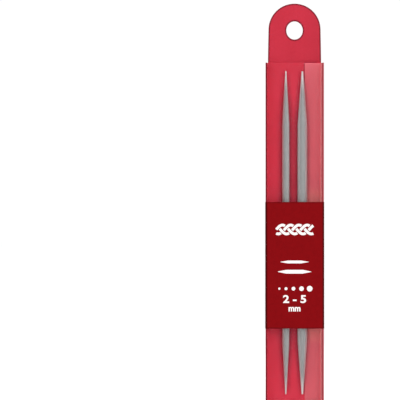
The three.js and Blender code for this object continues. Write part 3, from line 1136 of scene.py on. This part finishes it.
def print_mesh(name, points, faces):
    """Thin raised print on the label's front: (x, z) points, and faces that index them."""
    paper_y = LABEL_LO.y
    count = len(points)
    bm = bmesh.new()
    verts = [
        bm.verts.new((x * MM, y * MM, z * MM))
        for y in (paper_y - INK_THICKNESS, paper_y + 0.004)
        for x, z in points
    ]
    for face in faces:
        add_face(bm, [verts[i] for i in face])
        add_face(bm, [verts[i + count] for i in reversed(face)])
    # close the sides along the edges that only one face uses
    edges = dict.fromkeys(pair for face in faces for pair in zip(face, face[1:] + face[:1]))
    for a, b in edges:
        if (b, a) not in edges:
            add_face(bm, [verts[b], verts[a], verts[a + count], verts[b + count]])
    loose = [v for v in bm.verts if not v.link_faces]
    bmesh.ops.delete(bm, geom=loose, context="VERTS")
    bmesh.ops.recalc_face_normals(bm, faces=bm.faces)
    mesh = bpy.data.meshes.new(name)
    bm.to_mesh(mesh)
    bm.free()
    mesh.materials.append(INK)
    piece = bpy.data.objects.new(name, mesh)
    bpy.context.scene.collection.objects.link(piece)
    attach(piece, "sleeve")


def lettering(name, text, across, up, embolden):
    """Words in the built-in font, fitted to a box: across in x, up from the label's lower
    edge."""
    curve = bpy.data.curves.new(name + "_src", "FONT")
    curve.body = text
    curve.size = 1.0
    curve.offset = embolden
    curve.resolution_u = 6
    source = bpy.data.objects.new(name + "_src", curve)
    bpy.context.scene.collection.objects.link(source)
    mesh = evaluated_mesh(source)

    def fit(values, low, high):
        """A function that maps the values' range to low..high."""
        least, most = min(values), max(values)
        return lambda value: low + (value - least) / (most - least) * (high - low)

    fit_x = fit([v.co.x for v in mesh.vertices], *across)
    fit_z = fit([v.co.y for v in mesh.vertices], *(LABEL_LO.z + z for z in up))
    bm = bmesh.new()
    bm.from_mesh(mesh)
    bmesh.ops.remove_doubles(bm, verts=bm.verts, dist=1e-5)
    bmesh.ops.recalc_face_normals(bm, faces=bm.faces)
    if sum(f.normal.z for f in bm.faces) < 0:
        bmesh.ops.reverse_faces(bm, faces=bm.faces)
    bm.verts.ensure_lookup_table()
    points = [(fit_x(v.co.x), fit_z(v.co.y)) for v in bm.verts]
    faces = [[v.index for v in f.verts] for f in bm.faces]
    bm.free()
    bpy.data.objects.remove(source)
    bpy.data.curves.remove(curve)
    bpy.data.meshes.remove(mesh)
    print_mesh(name, points, faces)


lettering("print_size", "2 - 5", across=(-4.84, 4.63), up=(10.47, 13.77), embolden=0.03)
lettering("print_unit", "mm", across=(-2.58, 2.34), up=(7.02, 8.87), embolden=0.035)

# heights below are above the label's lower edge
# left end, right end, height, thickness, tip thickness, taper length
PICTURE_NEEDLES = [
    (-5.86, 5.61, 27.32, 1.15, 0.16, 3.0),
    (-6.9, 6.7, 23.32, 1.55, 0.2, 3.4),
]
# x, radius
DOTS = [(-6.35, 0.46), (-3.6, 0.62), (-0.55, 0.78), (2.75, 0.96), (6.1, 1.16)]
DOTS_HEIGHT = 16.37


def picture_needle(left, right, height, thick, tip, taper):
    """Outline of a double-pointed needle lying across the label."""
    z = LABEL_LO.z + height
    edge = [
        (left, tip / 2),
        (left + taper, thick / 2),
        (right - taper, thick / 2),
        (right, tip / 2),
    ]
    upper = [(x, z + half) for x, half in edge]
    lower = [(x, z - half) for x, half in reversed(edge)]
    return upper + [(right + tip * 0.4, z)] + lower + [(left - tip * 0.4, z)]


def build_pictures():
    """A thin and a thick needle, and a row of dots that grow from left to right."""
    shapes = [picture_needle(*row) for row in PICTURE_NEEDLES]
    z = LABEL_LO.z + DOTS_HEIGHT
    angles = [-2 * PI * k / 40 for k in range(40)]
    for x, radius in DOTS:
        shapes.append([(x + radius * math.cos(a), z + radius * math.sin(a)) for a in angles])
    points, faces = [], []
    for shape in shapes:
        faces.append(list(range(len(points), len(points) + len(shape))))
        points += shape
    print_mesh("print_pictures", points, faces)


build_pictures()

PLAIT_LEFT, PLAIT_RIGHT = -7.6, 7.6
PLAIT_Z = LABEL_LO.z + 40.62
PLAIT_SWING = 1.8  # amplitude
PLAIT_PERIOD = 10.13
STRAND_WIDTH = 1.12
STRAND_GAP = 0.24  # left free where one strand passes under another
STRAND_MIN_RUN = 0.9  # shorter bits are left out
PLAIT_STEPS = 420
PLAIT_REACH = 26  # steps to either side searched for a crossing


def build_plait():
    """A three-strand plait: ribbons along sines, cut where they pass under another."""
    steps = PLAIT_STEPS
    places = [PLAIT_LEFT + (PLAIT_RIGHT - PLAIT_LEFT) * i / steps for i in range(steps + 1)]
    strands = range(3)

    def phase(strand, x):
        return 2 * PI * (x - PLAIT_LEFT) / PLAIT_PERIOD + 2 * PI * strand / 3

    centres = [
        [Vector((x, PLAIT_Z + PLAIT_SWING * math.sin(phase(s, x)))) for x in places]
        for s in strands
    ]

    def on_top(strand, i):
        here = centres[strand][i]
        near = range(max(0, i - PLAIT_REACH), min(steps, i + PLAIT_REACH) + 1)
        level = math.sin(2 * phase(strand, places[i]))
        for other in strands:
            if other == strand:
                continue
            distance, j = min(((centres[other][j] - here).length, j) for j in near)
            if distance < STRAND_WIDTH / 2 + STRAND_GAP:
                if math.sin(2 * phase(other, places[j])) > level:
                    return False
        return True

    points, faces = [], []
    for strand in strands:
        centre = centres[strand]
        for visible, run in groupby(range(steps + 1), key=lambda i: on_top(strand, i)):
            run = list(run)
            if not visible or places[run[-1]] - places[run[0]] <= STRAND_MIN_RUN:
                continue
            start = len(points)
            for i in run[::2]:
                ahead = centre[min(steps, i + 1)] - centre[max(0, i - 1)]
                ahead = ahead.normalized()
                half = Vector((-ahead.y, ahead.x)) * (STRAND_WIDTH / 2)
                points += [tuple(centre[i] - half), tuple(centre[i] + half)]
            faces += [[a, a + 2, a + 3, a + 1] for a in range(start, len(points) - 2, 2)]
    print_mesh("print_plait", points, faces)


build_plait()


# ---------------------------------------------------------------------------
# Floor, light, camera (this section in metres)
# ---------------------------------------------------------------------------

# the pack hangs just clear of the floor, so that the opened flap has room to swing
FLOOR_Z = -0.005
FLOOR_HALF = 9.0
FLOOR_CELLS = 40


def build_floor():
    mesh = bpy.data.meshes.new("floor")
    ticks = [-FLOOR_HALF + 2 * FLOOR_HALF * i / FLOOR_CELLS for i in range(FLOOR_CELLS + 1)]
    verts = [(x, y, FLOOR_Z) for y in ticks for x in ticks]
    mesh.from_pydata(verts, [], grid_faces(len(ticks), len(ticks)))
    floor = bpy.data.objects.new("floor", mesh)
    bpy.context.scene.collection.objects.link(floor)
    mat = new_material("pale_floor")
    cloud = mat.noise(scale=0.02, detail=3, rough=0.5)
    colour = mat.vary(cloud, 0.3, 0.7, (0.9, 0.9, 0.9), (0.87, 0.87, 0.87))
    diffuse = mat.shader("BsdfDiffuse", Color=colour)
    glow = mat.shader("Emission", Color=WHITE, Strength=0.24)
    mesh.materials.append(mat.finish(mat.add("AddShader", {0: diffuse, 1: glow}).outputs[0]))


def build_world():
    """White to the camera; otherwise a soft room, brighter at the front, sides and top."""
    world = bpy.data.worlds.new("studio")
    bpy.context.scene.world = world
    sky = Shading(world, output="OutputWorld")
    direction = sky.add("TexCoord").outputs["Generated"]
    key = Vector((0.12, -0.94, 0.3)).normalized()
    towards_key = sky.add("VectorMath", {0: direction, 1: key}, operation="DOT_PRODUCT")
    x, y, z = sky.add("SeparateXYZ", {0: direction}).outputs

    def brighten(pattern, gain, base):
        return sky.math("MULTIPLY_ADD", pattern, gain, base)

    level = brighten(towards_key.outputs["Value"], gain=0.26, base=0.5)
    level = brighten(sky.size(x), gain=0.34, base=level)
    right_panel = sky.math("POWER", sky.math("MAXIMUM", x, 0.0), 4.0)
    level = brighten(right_panel, gain=0.7, base=level)
    level = brighten(sky.math("MAXIMUM", z, 0.0), gain=0.2, base=level)
    soft = sky.shader("Background", Strength=level, Color=WHITE)
    plain = sky.shader("Background", Strength=1.02, Color=WHITE)
    seen = sky.add("LightPath").outputs["Is Camera Ray"]
    sky.finish(sky.mix_shader(seen, soft, plain))


def add_softbox(name, location, size, power):
    """A rectangular light aimed at the middle of the pack."""
    middle = Vector((0, 0, (CAD_LO.z + CAD_HI.z) / 2))
    light = bpy.data.lights.new(name, "AREA")
    light.shape = "RECTANGLE"
    light.size, light.size_y = size
    light.energy = power
    lamp = bpy.data.objects.new(name, light)
    lamp.location = location
    lamp.rotation_euler = (middle - Vector(location)).to_track_quat("-Z", "Y").to_euler()
    bpy.context.scene.collection.objects.link(lamp)


build_floor()
build_world()
add_softbox("softbox_front", location=(0.25, -0.9, 0.5), size=(0.6, 0.8), power=1.9)
add_softbox("softbox_back", location=(-0.5, 0.8, 0.5), size=(0.7, 0.7), power=3.0)

scene = bpy.context.scene
scene.view_settings.view_transform = "Standard"
scene.view_settings.look = "None"
scene.view_settings.exposure = 0.0
scene.view_settings.gamma = 1.0

# Camera straight at the front, the pack right of the middle
LENS, SENSOR = 500.0, 36.0
VIEW_WIDTH = 163.93443  # mm across the view at the walls' front edges
CAMERA_LEFT = 38.85246  # mm left of the pack's middle
CAMERA_BELOW_MOUTH = 56.31148  # mm


def build_camera():
    data = bpy.data.cameras.new("camera")
    data.lens = LENS
    data.sensor_width = SENSOR
    data.clip_start, data.clip_end = 0.05, 50
    camera = bpy.data.objects.new("camera", data)
    camera.location = (
        -CAMERA_LEFT * MM,
        (Y_FRONT - LENS / SENSOR * VIEW_WIDTH) * MM,
        (MOUTH - CAMERA_BELOW_MOUTH) * MM,
    )
    camera.rotation_euler = (PI / 2, 0, 0)
    scene.collection.objects.link(camera)
    scene.camera = camera


build_camera()

bpy.context.view_layer.update()
